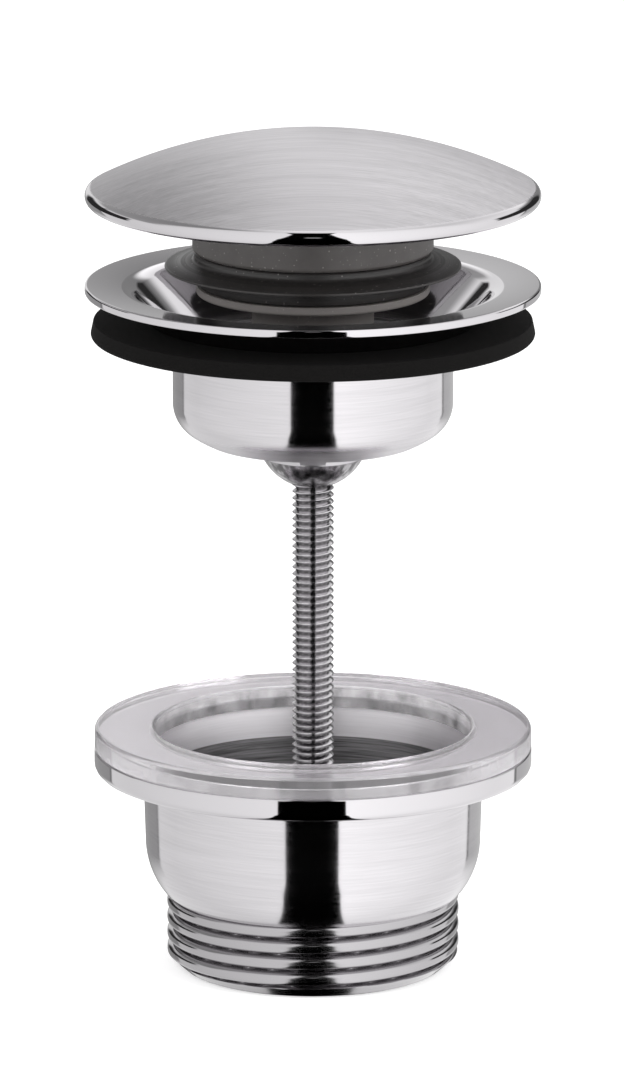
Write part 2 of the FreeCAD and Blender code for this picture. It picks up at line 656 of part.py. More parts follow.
def seal_carrier():
    """Grey moulded carrier: drum, seal groove and lower lip, hollow over the latch sleeve."""
    body = make_body("seal_carrier")
    hollow = sleeve_outer + S["carrier_gap"]
    hole = S["stud_radius"] + S["stud_gap"]
    drum, foot = S["drum_radius"], S["foot_radius"]
    drum_edge, foot_edge = S["drum_bevel"], S["foot_bevel"]
    turn(body, "carrier_shell", [
        (hollow, carrier_foot),
        (foot - foot_edge, carrier_foot),
        (foot, carrier_foot + foot_edge),
        (foot, groove_foot),
        (S["groove_radius"], groove_foot),
        (S["groove_radius"], drum_foot),
        (drum - drum_edge, drum_foot),
        (drum, drum_foot + drum_edge),
        (drum, carrier_top),
        (hole, carrier_top),
        (hole, plate_level),
        (hollow, plate_level),
    ])
    inner, outer = hollow + S["carrier_wall"], drum - S["carrier_wall"]
    half = S["carrier_pocket_angle"]
    pocket = rise(body, "carrier_pocket", "XY_Plane", carrier_top, [
        Arc(inner * cosine(half), -(inner * sine(half)), ZERO, ZERO, inner),
        (outer * cosine(half), -(outer * sine(half))),
        Arc(outer * cosine(half), outer * sine(half), ZERO, ZERO, outer),
        (inner * cosine(half), inner * sine(half)),
    ], S["carrier_pocket_depth"], cut=True)
    ring_of(body, pocket, POCKETS)
    return body


def lip_seal():
    """Rubber sleeve in the carrier's groove with one thin drooping lip."""
    inner = S["groove_radius"] + S["seat_gap"]
    foot, top = groove_foot + S["seat_gap"], drum_foot - S["seat_gap"]
    root_z = groove_foot + S["lip_level"]
    edge_z = root_z - S["lip_droop"]
    return turned("lip_seal", [
        (inner, foot),
        (S["seal_radius"], foot),
        (S["seal_radius"], root_z - S["lip_root"] / 2),
        (S["lip_radius"], edge_z - S["lip_edge"] / 2),
        (S["lip_radius"], edge_z + S["lip_edge"] / 2),
        (S["seal_collar"], root_z + S["lip_root"] / 2),
        (S["seal_collar"], top),
        (inner, top),
    ])


def cap_stud():
    radius = S["stud_radius"]
    foot, top = plate_level - S["stud_in_plunger"], carrier_top + S["stud_in_cap"]
    return turned("cap_stud", [(ZERO, foot), (radius, foot), (radius, top), (ZERO, top)])


def plug_cap():
    """Domed cap: spherical top rolled into a rounded edge, hollow underneath, with a threaded boss."""
    edge, dome, wall = S["cap_round"], S["cap_dome"], S["cap_wall"]
    centre_z = cap_top - dome
    edge_x = S["cap_radius"] - edge
    edge_z = centre_z + leg(dome - edge, edge_x)
    meet = dome / (dome - edge)
    land_x = edge_x - S["cap_land"]
    inner = dome - wall
    hole = S["stud_radius"] + S["stud_gap"]
    hole_top = carrier_top + S["stud_in_cap"] + S["slide_gap"]
    return turned("plug_cap", [
        (ZERO, hole_top),
        (hole, hole_top),
        (hole, carrier_top),
        (S["cap_boss"], carrier_top),
        (S["cap_boss"], centre_z + leg(inner, S["cap_boss"])),
        Arc(land_x, centre_z + leg(inner, land_x), ZERO, centre_z, inner),
        (land_x, edge_z - edge),
        (edge_x, edge_z - edge),
        Arc(S["cap_radius"], edge_z, edge_x, edge_z, edge),
        Arc(edge_x * meet, centre_z + (edge_z - centre_z) * meet, edge_x, edge_z, edge),
        Arc(ZERO, cap_top, ZERO, centre_z, dome),
    ])


def write_parts(parts):
    """Stops on any failed object or unsound solid, then writes one STEP file per sub-part."""
    doc.recompute()
    failed = [item.Label for item in doc.Objects if {"Invalid", "Error"} & set(item.State)]
    if failed:
        raise RuntimeError(f"these objects failed: {failed}")
    os.makedirs("parts", exist_ok=True)
    for part in parts:
        shape = part.Shape
        if shape.isNull() or not shape.isValid() or not shape.Solids:
            raise RuntimeError(f"{part.Label} is not a sound solid")
        box = shape.BoundBox
        print(f"{part.Label}: volume {shape.Volume:.1f} mm3, z {box.ZMin:.2f} to {box.ZMax:.2f}, "
              f"reach {box.XMax:.2f} mm, {len(shape.Solids)} solid")
    for part in parts:
        part.Shape.exportStep(f"parts/{part.Label}.step")


write_parts([tail_body(), clear_washer(), flange_gasket(), waste_cup(), centre_screw(), dome_nut(),
             thrust_washer(), latch_base(), latch_sleeve(), plunger(), rotor(), latch_spring(),
             seal_carrier(), lip_seal(), cap_stud(), plug_cap()])
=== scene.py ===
import math

import bmesh
import bpy
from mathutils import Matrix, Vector

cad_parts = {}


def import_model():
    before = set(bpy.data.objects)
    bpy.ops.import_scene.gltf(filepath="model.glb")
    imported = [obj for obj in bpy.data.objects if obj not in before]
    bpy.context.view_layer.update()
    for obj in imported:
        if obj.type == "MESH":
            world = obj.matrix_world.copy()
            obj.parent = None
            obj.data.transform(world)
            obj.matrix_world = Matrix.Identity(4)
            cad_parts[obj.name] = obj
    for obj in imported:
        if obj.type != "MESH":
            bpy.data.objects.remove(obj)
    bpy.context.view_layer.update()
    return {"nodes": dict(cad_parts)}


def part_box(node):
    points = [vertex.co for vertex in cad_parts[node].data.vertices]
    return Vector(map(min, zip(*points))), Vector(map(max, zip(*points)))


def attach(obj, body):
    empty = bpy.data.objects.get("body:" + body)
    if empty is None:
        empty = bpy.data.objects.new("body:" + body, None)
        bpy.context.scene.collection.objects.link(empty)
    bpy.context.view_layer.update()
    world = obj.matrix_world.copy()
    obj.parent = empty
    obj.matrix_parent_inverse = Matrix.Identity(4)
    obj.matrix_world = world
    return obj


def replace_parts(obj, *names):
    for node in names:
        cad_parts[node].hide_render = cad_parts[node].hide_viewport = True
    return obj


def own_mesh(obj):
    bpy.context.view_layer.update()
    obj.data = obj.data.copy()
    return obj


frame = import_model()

MM = 0.001

# Camera of the photograph: a long lens, looking down at the axis
LENS_MM, SENSOR_MM = 332.7, 36.0
CAMERA_DISTANCE, CAMERA_PITCH = 1.4137, math.radians(13.2)
AIM_HEIGHT, AXIS_OFFSET = 61.84 * MM, 0.14 * MM

# Mesh fineness
AROUND, CORNER_STEPS = 192, 5
OUTLET_ROWS, OUTLET_AROUND, SCREW_ROWS_PER_MM, SCREW_AROUND = 150, 240, 16, 56
SPRING_STEPS, SPRING_SIDES = 168, 12
SHARP, THREAD_SHARP, WIRE_SHARP = 30.0, 50.0, 60.0

# Sizes in millimetres that the frame's boxes don't give
CAP_DOME, CAP_ROUND, CAP_WALL, CAP_LAND, CAP_BOSS = 70.5, 1.2, 2.4, 1.6, 6.5
CUP_DEPTH, CUP_RADIUS, CUP_WALL, CUP_KNUCKLE, CUP_ROUND, CUP_FLAT = 24.1, 19.8, 1.4, 5.0, 17.7, 7.8
FLANGE_LAND, FLANGE_SLOPE, FLANGE_WALL, RIM_ROLL, RIM_BEVEL, CONE_SLOPE = 4.95, 4.0, 1.2, 3.0, 0.3, 48.0
HUB_HOLE, HUB_RADIUS, HUB_HEIGHT = 3.3, 7.2, 2.3
DRAIN_INNER, DRAIN_OUTER, DRAIN_BAR = 8.3, 15.2, 3.6
OUTLET_RADIUS, OUTLET_LENGTH, OUTLET_BORE, OUTLET_PITCH = 20.8, 10.6, 17.4, 2.309
OUTLET_CHAMFER, OUTLET_CHAMFER_HEIGHT, THREAD_ROOT, CREST_WIDTH = 2.2, 1.9, 19.5, 3.4
ROOT_CHAMFER, THREAD_LINING, THREAD_INSET, THREAD_GAP = 0.9, 0.3, 0.02, 0.01
SHELL_RADIUS, SHELL_DRAFT, SHELL_WALL, SHOULDER_ROUND, SHOULDER_TURN = 23.85, 0.4, 2.2, 9.0, 11.5
TAIL_FLANGE, TAIL_FLANGE_ROUND, MOUTH_CHAMFER = 3.3, 1.2, 1.1
ARM_LEVEL, ARM_HEIGHT, ARM_WIDTH, ARM_INSET, ARM_EDGE, ARM_EDGE_STEPS = 4.6, 6.0, 3.0, 1.0, 0.5, 3
HUB_LEVEL, HUB_SIZE, TAIL_HUB, SCREW_HOLE = 3.4, 6.4, 11.1, 3.05
SCREW_PITCH, SCREW_DEPTH, SCREW_CHAMFER, SCREW_CORE, SCREW_ROOT = 1.0, 0.58, 0.8, 0.4, 2.42
SCREW_FLANK, SCREW_ROOT_FLAT = 0.44, 0.03
NUT_SPHERE = 8.0
WASHER_INNER, WASHER_ROUND, WASHER_LIFT, WASHER_SHADE_HEIGHT = 22.4, 0.6, 0.03, 1.5
GASKET_INNER, GASKET_SEAT, GASKET_TAPER = 22.17, 1.0, 0.5
CARRIER_HOLLOW, FOOT_RADIUS, FOOT_HEIGHT, GROOVE_RADIUS, DRUM_HEIGHT = 9.1, 16.45, 1.2, 13.6, 6.85
STUD_HOLE, PLATE = 2.5, 1.7
SEAL_RADIUS, SEAL_COLLAR, SEAL_GAP = 16.2, 16.7, 0.03
LIP_LEVEL, LIP_DROOP, LIP_HALF_EDGE, LIP_HALF_ROOT = 3.2, 0.5, 0.2, 0.55
SPRING_RADIUS, SPRING_WIRE, SPRING_TURNS, PRESS_TRAVEL = 4.0, 0.5, 3.5, 7.8

# Finish of the turned metal, with the painted shade and painted highlight of its bores, in millimetres. A
# waist is the height where the painted shade of the bore starts to widen, the height where it has its full
# radius, and the radius below.
TAIL_BORE, TAIL_WAIST, TAIL_BORE_TOP, TAIL_POLISH, TAIL_DULL = 23.3, (10.6, 18.4, 19.6), 27.7, 26.0, 19.0
CUP_BORE, CUP_WAIST, CUP_BORE_TOP, CUP_POLISH, CUP_DULL = 18.6, (75.6, 79.5, 6.0), 93.0, 20.3, 19.5
DULL_BLEND, POLISH_BLEND, BORE_BLEND = 1.5, 0.3, 0.1
FLOOR_REACH, FLOOR_DROP = 6.0, 0.05 * MM


class Nodes:
    """Short calls that wire a node tree."""

    def __init__(self, tree, coordinates):
        self.nodes, self.links = tree.nodes, tree.links
        self.place = self.nodes.new("ShaderNodeTexCoord").outputs[coordinates]

    def wire(self, value, socket):
        """Gives a socket either a plain value or another node's output."""
        if isinstance(value, bpy.types.NodeSocket):
            self.links.new(value, socket)
        else:
            socket.default_value = value

    def math(self, kind, a, b=0.0):
        node = self.nodes.new("ShaderNodeMath")
        node.operation = kind
        self.wire(a, node.inputs[0])
        self.wire(b, node.inputs[1])
        return node.outputs[0]

    def split(self):
        node = self.nodes.new("ShaderNodeSeparateXYZ")
        self.links.new(self.place, node.inputs[0])
        return node.outputs

    def radius(self):
        x, y, _ = self.split()
        squares = self.math("ADD", self.math("MULTIPLY", x, x), self.math("MULTIPLY", y, y))
        return self.math("SQRT", squares)

    def vector(self, x, y, z):
        node = self.nodes.new("ShaderNodeCombineXYZ")
        for value, socket in zip((x, y, z), node.inputs):
            self.wire(value, socket)
        return node.outputs[0]

    def stretched(self, scale):
        node = self.nodes.new("ShaderNodeMapping")
        self.links.new(self.place, node.inputs["Vector"])
        node.inputs["Scale"].default_value = scale
        return node.outputs[0]

    def noise(self, vector, scale=1.0, detail=2.0, roughness=0.5):
        node = self.nodes.new("ShaderNodeTexNoise")
        self.links.new(vector, node.inputs["Vector"])
        node.inputs["Scale"].default_value = scale
        node.inputs["Detail"].default_value = detail
        node.inputs["Roughness"].default_value = roughness
        return node.outputs["Fac"]

    def ramp(self, value, low, high, to_low=0.0, to_high=1.0, smooth=False):
        node = self.nodes.new("ShaderNodeMapRange")
        node.interpolation_type = "SMOOTHSTEP" if smooth else "LINEAR"
        self.wire(value, node.inputs[0])
        for number, limit in enumerate((low, high, to_low, to_high), start=1):
            node.inputs[number].default_value = limit
        return node.outputs[0]

    def band(self, value, rise, fall):
        """1 between two ramps, of which one rises and one falls, and 0 outside them."""
        return self.math("MULTIPLY", self.ramp(value, *rise), self.ramp(value, *fall))

    def mix(self, share, a, b):
        node = self.nodes.new("ShaderNodeMix")
        node.data_type = "RGBA"
        self.wire(share, node.inputs["Factor"])
        self.wire(a, node.inputs[6])
        self.wire(b, node.inputs[7])
        return node.outputs[2]

    def blend(self, share, a, b):
        """A number that goes from a to b as share goes from 0 to 1."""
        return self.math("ADD", a, self.math("MULTIPLY", share, self.math("SUBTRACT", b, a)))


class Paint(Nodes):
    """A node material in the making: plain shader inputs are set by name, the others are linked."""

    def __init__(self, name):
        self.material = bpy.data.materials.new(name)
        self.material.use_nodes = True
        super().__init__(self.material.node_tree, "Object")
        self.shader = self.nodes["Principled BSDF"]

    def set(self, **inputs):
        for name, value in inputs.items():
            self.shader.inputs[name.replace("_", " ")].default_value = value
        return self

    def brushed_along_x(self, amount):
        """Reflections smear across brush lines that run along X."""
        turn = self.nodes.new("ShaderNodeVectorTransform")
        turn.vector_type, turn.convert_from, turn.convert_to = "VECTOR", "OBJECT", "WORLD"
        turn.inputs[0].default_value = (1.0, 0.0, 0.0)
        self.link(turn.outputs[0], "Tangent")
        return self.set(Anisotropic=amount, Anisotropic_Rotation=0.25)

    def brushed_round_z(self, amount):
        """Reflections smear across brush lines that run round Z."""
        tangent = self.nodes.new("ShaderNodeTangent")
        tangent.direction_type, tangent.axis = "RADIAL", "Z"
        self.link(tangent.outputs[0], "Tangent")
        return self.set(Anisotropic=amount, Anisotropic_Rotation=0.25)

    def bump(self, height, depth):
        node = self.nodes.new("ShaderNodeBump")
        node.inputs["Strength"].default_value = 1.0
        node.inputs["Distance"].default_value = depth
        self.links.new(height, node.inputs["Height"])
        self.links.new(node.outputs[0], self.shader.inputs["Normal"])

    def link(self, value, name):
        self.links.new(value, self.shader.inputs[name])


def grey(level):
    """Nickel's and steel's grey."""
    return (level, level * 0.975, level * 1.005, 1.0)


def warm(level):
    """The warmer grey of plastic and rubber."""
    return (level, level * 0.93, level * 0.9, 1.0)


def brushed_cap():
    """Straight brush lines along X on the dome, polished round its edge."""
    p = Paint("brushed_nickel_cap").set(Metallic=1.0).brushed_along_x(0.85)
    lines = p.noise(p.stretched((90.0, 5200.0, 2000.0)), detail=3.0, roughness=0.6)
    broad = p.noise(p.stretched((25.0, 700.0, 300.0)), detail=2.0)
    polished = p.ramp(p.radius(), 31.2 * MM, 31.5 * MM)
    grain = p.math("ADD", p.math("MULTIPLY", lines, 0.7), p.math("MULTIPLY", broad, 0.3))
    brushed = p.mix(p.ramp(grain, 0.34, 0.66), grey(0.49), grey(0.68))
    p.link(p.mix(polished, brushed, grey(0.64)), "Base Color")
    p.link(p.blend(polished, p.ramp(lines, 0.3, 0.7, 0.30, 0.42), 0.06), "Roughness")
    p.bump(p.math("MULTIPLY", lines, p.math("SUBTRACT", 1.0, polished)), 0.004 * MM)
    return p.material


def turned_nickel(name, bore, waist, bore_top, polish_from, dull_from):
    """Brushed round the axis on the walls, polished outside a radius, dull inside the bore.

    The bore is painted dark below bore_top, as painted shade, and painted pale in its mouth above
    that, as a painted highlight. Its limit narrows to the waist. Walls that are narrower than dull_from,
    such as a floor, are duller.
    """
    p = Paint(name).set(Metallic=1.0).brushed_round_z(0.85)
    lines = p.noise(p.stretched((110.0, 110.0, 5200.0)), detail=3.0, roughness=0.6)
    broad = p.noise(p.stretched((30.0, 30.0, 800.0)), detail=2.0)
    grain = p.math("ADD", p.math("MULTIPLY", lines, 0.6), p.math("MULTIPLY", broad, 0.4))
    polished = p.ramp(p.radius(), polish_from * MM, polish_from * MM + POLISH_BLEND * MM)
    height = p.split()[2]
    low, high, narrow = waist
    limit = p.ramp(height, low * MM, high * MM, narrow * MM, bore * MM)
    inside = p.math("LESS_THAN", p.radius(), limit)
    below_mouth = p.ramp(height, bore_top * MM, bore_top * MM - BORE_BLEND * MM)
    # Painted shade: the bore is coloured dark inside its limit and below its mouth.
    bore_shade = p.math("MULTIPLY", inside, below_mouth)
    outer = p.mix(polished, p.mix(p.ramp(grain, 0.3, 0.7), grey(0.60), grey(0.70)), grey(0.66))
    # Painted highlight: the mouth is coloured near white for the light it reflects.
    mouth = p.mix(p.ramp(grain, 0.3, 0.7), grey(0.88), grey(0.98))
    inner = p.mix(p.ramp(grain, 0.38, 0.62), grey(0.10), grey(0.36))
    p.link(p.mix(bore_shade, p.mix(inside, outer, mouth), inner), "Base Color")
    dull = p.ramp(p.radius(), dull_from * MM - DULL_BLEND * MM, dull_from * MM, 0.26, 0.0)
    satin = p.blend(polished, p.math("ADD", p.ramp(lines, 0.3, 0.7, 0.09, 0.15), dull), 0.06)
    p.link(p.blend(inside, satin, 0.42), "Roughness")
    p.bump(p.math("MULTIPLY", lines, p.math("SUBTRACT", 1.0, polished)), 0.001 * MM)
    return p.material


def steel(name, level, rough, shaded_roots=None):
    """Worn plated steel, with painted shade that darkens it inside the radius of its thread's roots."""
    p = Paint(name).set(Metallic=1.0)
    wear = p.noise(p.stretched((900.0, 900.0, 900.0)), detail=4.0)
    colour = p.mix(p.ramp(wear, 0.35, 0.65), grey(level * 0.88), grey(level * 1.1))
    if shaded_roots:
        # Painted shade: the colour is darker inside the radius of the thread's roots.
        colour = p.mix(p.ramp(p.radius(), shaded_roots, shaded_roots + 0.4 * MM), grey(level * 0.38), colour)
    p.link(colour, "Base Color")
    p.link(p.ramp(wear, 0.3, 0.7, rough - 0.04, rough + 0.06), "Roughness")
    return p.material


def nut_metal():
    """Dark plated steel with streaks up its dome: its turning marks, painted in colour, the pale ones as
    painted highlight.
    """
    p = Paint("dark_chrome").set(Metallic=1.0)
    streaks = p.noise(p.stretched((1300.0, 1300.0, 90.0)), detail=2.0)
    # Partly turning marks, partly painted highlight: pale streaks of colour stand for the radial gleam of
    # the turning.
    p.link(p.mix(p.ramp(streaks, 0.38, 0.62), grey(0.13), grey(0.42)), "Base Color")
    p.link(p.ramp(streaks, 0.3, 0.7, 0.16, 0.24), "Roughness")
    return p.material


def thread_metal():
    """Plated thread, brushed round the axis, with painted shade that darkens its roots a little."""
    p = Paint("thread_nickel").set(Metallic=1.0)
    lines = p.noise(p.stretched((90.0, 90.0, 4200.0)), detail=3.0)
    # Painted shade: the colour darkens towards the thread's roots.
    depth = p.ramp(p.radius(), THREAD_ROOT * MM, 20.6 * MM)
    p.link(p.mix(depth, grey(0.40), grey(0.46)), "Base Color")
    p.link(p.ramp(lines, 0.3, 0.7, 0.10, 0.18), "Roughness")
    p.bump(lines, 0.002 * MM)
    return p.material


def rubber(name, level, rough, ring_depth):
    """Black rubber with turned rings, a dusty bloom and a few pale specks."""
    p = Paint(name).set(Specular_IOR_Level=0.6)
    across, up = p.math("MULTIPLY", p.radius(), 3000.0), p.math("MULTIPLY", p.split()[2], 3000.0)
    rings = p.noise(p.vector(across, up, 0.0), detail=2.0)
    dust = p.noise(p.stretched((1500.0, 1500.0, 1500.0)), detail=3.0)
    speck = p.ramp(p.noise(p.stretched((2600.0, 2600.0, 2600.0)), detail=0.0), 0.80, 0.82)
    base = p.mix(dust, warm(level * 0.8), warm(level * 1.3))
    p.link(p.mix(speck, base, warm(level + 0.25)), "Base Color")
    p.link(p.ramp(rings, 0.3, 0.7, rough - 0.08, rough + 0.08), "Roughness")
    p.bump(rings, ring_depth)
    return p.material


def foam_rubber():
    p = Paint("foam_rubber").set(Specular_IOR_Level=0.15)
    cells = p.noise(p.stretched((5200.0, 5200.0, 5200.0)), detail=3.0, roughness=0.7)
    p.link(p.mix(p.ramp(cells, 0.35, 0.7), warm(0.002), warm(0.008)), "Base Color")
    p.link(p.ramp(cells, 0.3, 0.7, 0.75, 0.95), "Roughness")
    p.bump(cells, 0.05 * MM)
    return p.material


def moulded(name, level, rough, lit_below):
    """Satin moulded plastic with fine specks, with painted light that makes its thin foot paler."""
    p = Paint(name)
    cloud = p.noise(p.stretched((400.0, 400.0, 400.0)), detail=4.0)
    fine = p.noise(p.stretched((6000.0, 6000.0, 6000.0)), detail=2.0)
    base = p.mix(p.ramp(cloud, 0.3, 0.7), warm(level * 0.92), warm(level * 1.08))
    # Painted light: the thin foot is coloured paler, for light reflected onto it from the flange.
    base = p.mix(p.ramp(p.split()[2], lit_below, lit_below + 0.05 * MM), warm(level * 2.4), base)
    speck = p.ramp(p.noise(p.stretched((3300.0, 3300.0, 3300.0)), detail=0.0), 0.79, 0.82)
    p.link(p.mix(speck, base, warm(level + 0.3)), "Base Color")
    p.link(p.ramp(fine, 0.3, 0.7, rough - 0.06, rough + 0.06), "Roughness")
    p.bump(fine, 0.01 * MM)
    return p.material


def clear_silicone(shaded_below):
    """Hazy clear rubber, dull and streaked on the wall of its hole, with painted shade that darkens the
    wall's foot.
    """
    p = Paint("clear_silicone").set(Transmission_Weight=0.88, IOR=1.41)
    haze = p.noise(p.stretched((160.0, 160.0, 160.0)), detail=3.0)
    streaks = p.noise(p.stretched((420.0, 420.0, 260.0)), detail=4.0)
    hole = p.ramp(p.radius(), 22.9 * MM, 22.5 * MM)
    dull = p.mix(p.ramp(streaks, 0.3, 0.7), grey(0.14), grey(0.6))
    # Painted shade: the lower part of the hole wall is coloured darker.
    foot = p.ramp(p.split()[2], shaded_below + 0.2 * MM, shaded_below - 0.2 * MM)
    dull = p.mix(foot, dull, p.mix(p.ramp(streaks, 0.3, 0.7), grey(0.03), grey(0.25)))
    p.link(p.mix(hole, p.mix(p.ramp(haze, 0.3, 0.7), grey(0.95), grey(1.0)), dull), "Base Color")
    p.link(p.blend(hole, p.ramp(haze, 0.3, 0.7, 0.06, 0.13), 0.25), "Roughness")
    p.bump(p.noise(p.stretched((420.0, 420.0, 90.0)), detail=3.0), 0.006 * MM)
    return p.material


def dress(node, material):
    """Gives a CAD node its material."""
    thing = frame["nodes"][node]
    if not thing.material_slots:
        thing.data.materials.append(material)
    for slot in thing.material_slots:
        slot.material = material


def levels(node):
    """Lowest and highest z of a CAD node, and its outer radius, in millimetres."""
    low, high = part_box(node)
    return low[2] / MM, high[2] / MM, high[0] / MM


def leg(slant, other):
    """The other leg of a right triangle."""
    return math.sqrt(slant * slant - other * other)


def arc(centre, radius, start, end, steps=12):
    """Points of an arc from one angle to the other, in degrees; 0 points outwards and 90 up."""
    turn = [math.radians(start + (end - start) * step / steps) for step in range(steps + 1)]
    return [(centre[0] + radius * math.cos(a), centre[1] + radius * math.sin(a)) for a in turn]


def rounded(corners):
    """An outline whose corners are (radius, height), or (radius, height, rounding) where rounded."""
    points = []
    for number, corner in enumerate(corners):
        here = Vector(corner[:2])
        if len(corner) < 3:
            points.append(tuple(here))
            continue
        before = (Vector(corners[number - 1][:2]) - here).normalized()
        after = (Vector(corners[(number + 1) % len(corners)][:2]) - here).normalized()
        reach = corner[2] / math.tan(before.angle(after) / 2)
        a, b = here + before * reach, here + after * reach
        centre = here + (before + after).normalized() * (corner[2] / math.sin(before.angle(after) / 2))
        for step in range(CORNER_STEPS + 1):
            way = (a - centre).lerp(b - centre, step / CORNER_STEPS).normalized()
            points.append(tuple(centre + way * corner[2]))
    return points


def finish_mesh(name, mesh, material, body, sharp=SHARP):
    """Cleans a mesh, shades it smooth between its sharp edges, and lets it ride on a body."""
    work = bmesh.new()
    work.from_mesh(mesh)
    bmesh.ops.remove_doubles(work, verts=work.verts, dist=1e-7)
    bmesh.ops.dissolve_degenerate(work, edges=work.edges, dist=1e-7)
    bmesh.ops.recalc_face_normals(work, faces=work.faces)
    work.to_mesh(mesh)
    work.free()
    for face in mesh.polygons:
        face.use_smooth = True
    mesh.set_sharp_from_angle(angle=math.radians(sharp))
    mesh.materials.append(material)
    thing = bpy.data.objects.new(name, mesh)
    bpy.context.collection.objects.link(thing)
    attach(thing, body)
    return thing


def lathe(name, outline, material, body):
    """Turns a closed outline of (radius, height) points in millimetres about Z."""
    count = len(outline)
    points, faces = [], []
    for turn in range(AROUND):
        angle = 2 * math.pi * turn / AROUND
        points += [(r * math.cos(angle) * MM, r * math.sin(angle) * MM, z * MM) for r, z in outline]
        across = (turn + 1) % AROUND * count
        for step in range(count):
            after = (step + 1) % count
            faces.append((turn * count + step, turn * count + after, across + after, across + step))
    mesh = bpy.data.meshes.new(name)
    mesh.from_pydata(points, [], faces)
    return finish_mesh(name, mesh, material, body)


def even_normals(thing):
    """Keeps flat faces flat in their shading, beside small rounded edges."""
    change = thing.modifiers.new("even_normals", "WEIGHTED_NORMAL")
    change.keep_sharp = True
    return thing


def prism(name, outline, foot, top):
    """A closed prism over an (x, y) outline in millimetres."""
    count = len(outline)
    points = [(x * MM, y * MM, z * MM) for z in (foot, top) for x, y in outline]
    faces = [tuple(reversed(range(count))), tuple(range(count, 2 * count))]
    faces += [(n, (n + 1) % count, (n + 1) % count + count, n + count) for n in range(count)]
    mesh = bpy.data.meshes.new(name)
    mesh.from_pydata(points, [], faces)
    return mesh


def cut(thing, cutters):
    """Cuts closed meshes out of a piece for good."""
    for mesh in cutters:
        cutter = bpy.data.objects.new("cutter", mesh)
        bpy.context.collection.objects.link(cutter)
        change = thing.modifiers.new("cut", "BOOLEAN")
        change.operation, change.solver, change.object = "DIFFERENCE", "EXACT", cutter
        bpy.context.view_layer.update()
        graph = bpy.context.evaluated_depsgraph_get()
        result = bpy.data.meshes.new_from_object(thing.evaluated_get(graph))
        thing.modifiers.remove(change)
        thing.data = result
        bpy.data.objects.remove(cutter)
    thing.data.set_sharp_from_angle(angle=math.radians(SHARP))


def turned_outline(outline, angle):
    """An (x, y) outline turned about Z by degrees."""
    c, s = math.cos(math.radians(angle)), math.sin(math.radians(angle))
    return [(x * c - y * s, x * s + y * c) for x, y in outline]


def threaded_tube(name, radius_at, inner, foot, top, rows, around, material, body):
    """A tube whose outer radius depends on angle and height, closed by an inner wall."""
    points, faces = [], []
    for row in range(rows + 1):
        z = foot + (top - foot) * row / rows
        for turn in range(around):
            angle = 2 * math.pi * turn / around
            r = radius_at(angle, z)
            points.append((r * math.cos(angle) * MM, r * math.sin(angle) * MM, z * MM))
    for z in (top, foot):
        for turn in range(around):
            angle = 2 * math.pi * turn / around
            points.append((inner * math.cos(angle) * MM, inner * math.sin(angle) * MM, z * MM))
    rings = rows + 3
    for ring in range(rings):
        for turn in range(around):
            side, here, above = (turn + 1) % around, ring * around, (ring + 1) % rings * around
            faces.append((here + turn, here + side, above + side, above + turn))
    mesh = bpy.data.meshes.new(name)
    mesh.from_pydata(points, [], faces)
    return finish_mesh(name, mesh, material, body, THREAD_SHARP)


def plug_cap(material):
    _, top, radius = levels("plug_cap")
    seat = levels("seal_carrier")[1]
    centre = (0.0, top - CAP_DOME)
    edge_x = radius - CAP_ROUND
    edge = (edge_x, centre[1] + leg(CAP_DOME - CAP_ROUND, edge_x))
    slope = math.degrees(math.atan2(edge[1] - centre[1], edge_x))
    inner = CAP_DOME - CAP_WALL
    land = edge_x - CAP_LAND
    inner_angles = [math.degrees(math.acos(r / inner)) for r in (land, CAP_BOSS)]
    outline = arc(centre, CAP_DOME, 90.0, slope, 48) + arc(edge, CAP_ROUND, slope, -90.0, 14)[1:]
    outline += [(land, edge[1] - CAP_ROUND)] + arc(centre, inner, *inner_angles, 20)
    outline += [(CAP_BOSS, seat), (0.0, seat)]
    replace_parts(even_normals(lathe("domed_cap", outline, material, "plug")), "plug_cap")


